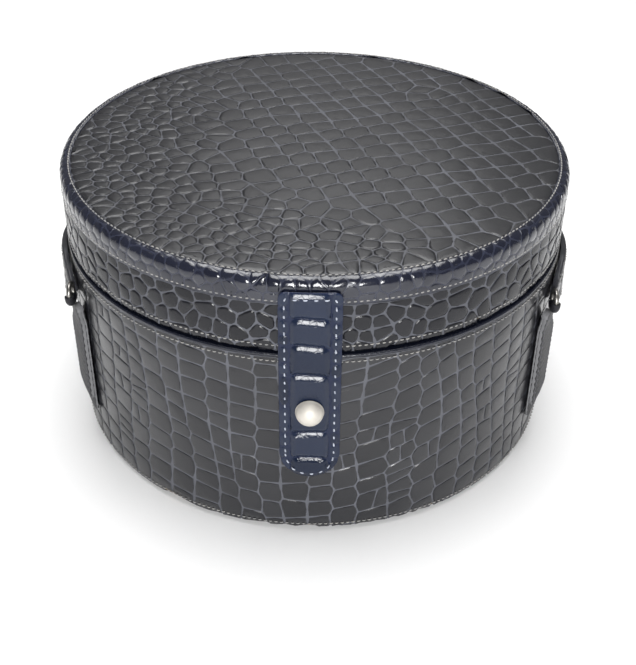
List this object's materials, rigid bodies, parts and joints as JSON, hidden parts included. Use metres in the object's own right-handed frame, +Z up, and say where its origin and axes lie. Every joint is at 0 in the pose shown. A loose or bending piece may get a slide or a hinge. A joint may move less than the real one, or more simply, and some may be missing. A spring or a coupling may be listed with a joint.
{
  "type": "presentation box",
  "caption": "Round hinged-lid presentation box in embossed leather with a front snap strap, side lugs with rings and a carry strap.",
  "frame": {"origin": "centre of the underside, on the surface that the box stands on", "axes": "+Z up through the lid, -Y towards the front strap, +X to the right seen from the front"},
  "size_m": [0.2642, 0.2772, 0.145],
  "materials": {
    "croc_leather": "glossy crocodile-embossed",
    "smooth_leather": "glossy, smooth",
    "board": "raw grey board",
    "lining": "short velvet pile",
    "padding": "foam sheet",
    "nickel": "satin nickel plate"
  },
  "bodies": {
    "base": {"base_bottom_cover": "smooth_leather", "base_floor_board": "board", "base_wall_board": "board", "base_side_leather": "croc_leather", "base_rim_binding": "smooth_leather", "base_side_lining": "lining", "base_floor_pad": "lining", "hinge_leather_base": "smooth_leather", "snap_stud": "nickel", "snap_rivet": "nickel", "right_lug": "smooth_leather", "left_lug": "smooth_leather"},
    "lid": {"lid_wall_board": "board", "lid_top_board": "board", "lid_top_padding": "padding", "lid_top_leather": "croc_leather", "lid_side_leather": "croc_leather", "lid_edge_binding": "smooth_leather", "lid_side_lining": "lining", "lid_top_lining": "lining", "hinge_leather_lid": "smooth_leather", "closure_strap_anchor": "smooth_leather"},
    "strap": {"closure_strap_flap": "smooth_leather", "snap_cap": "nickel", "snap_socket": "nickel"},
    "handle": {"handle_strap": "smooth_leather", "right_ring": "nickel", "left_ring": "nickel"}
  },
  "joints": [
    {"name": "lid_hinge", "type": "hinge", "parent": "base", "child": "lid", "pos_m": [0, 0.1294, 0.10675], "axis": [-1, 0, 0], "range_deg": [0, 100]},
    {"name": "strap_fold", "type": "hinge", "parent": "lid", "child": "strap", "pos_m": [0, -0.131, 0.1096], "axis": [-1, 0, 0], "range_deg": [0, 100]},
    {"name": "handle_swing", "type": "hinge", "parent": "base", "child": "handle", "pos_m": [0, -0.06, 0.0925], "axis": [1, 0, 0], "range_deg": [0, 98]}
  ]
}
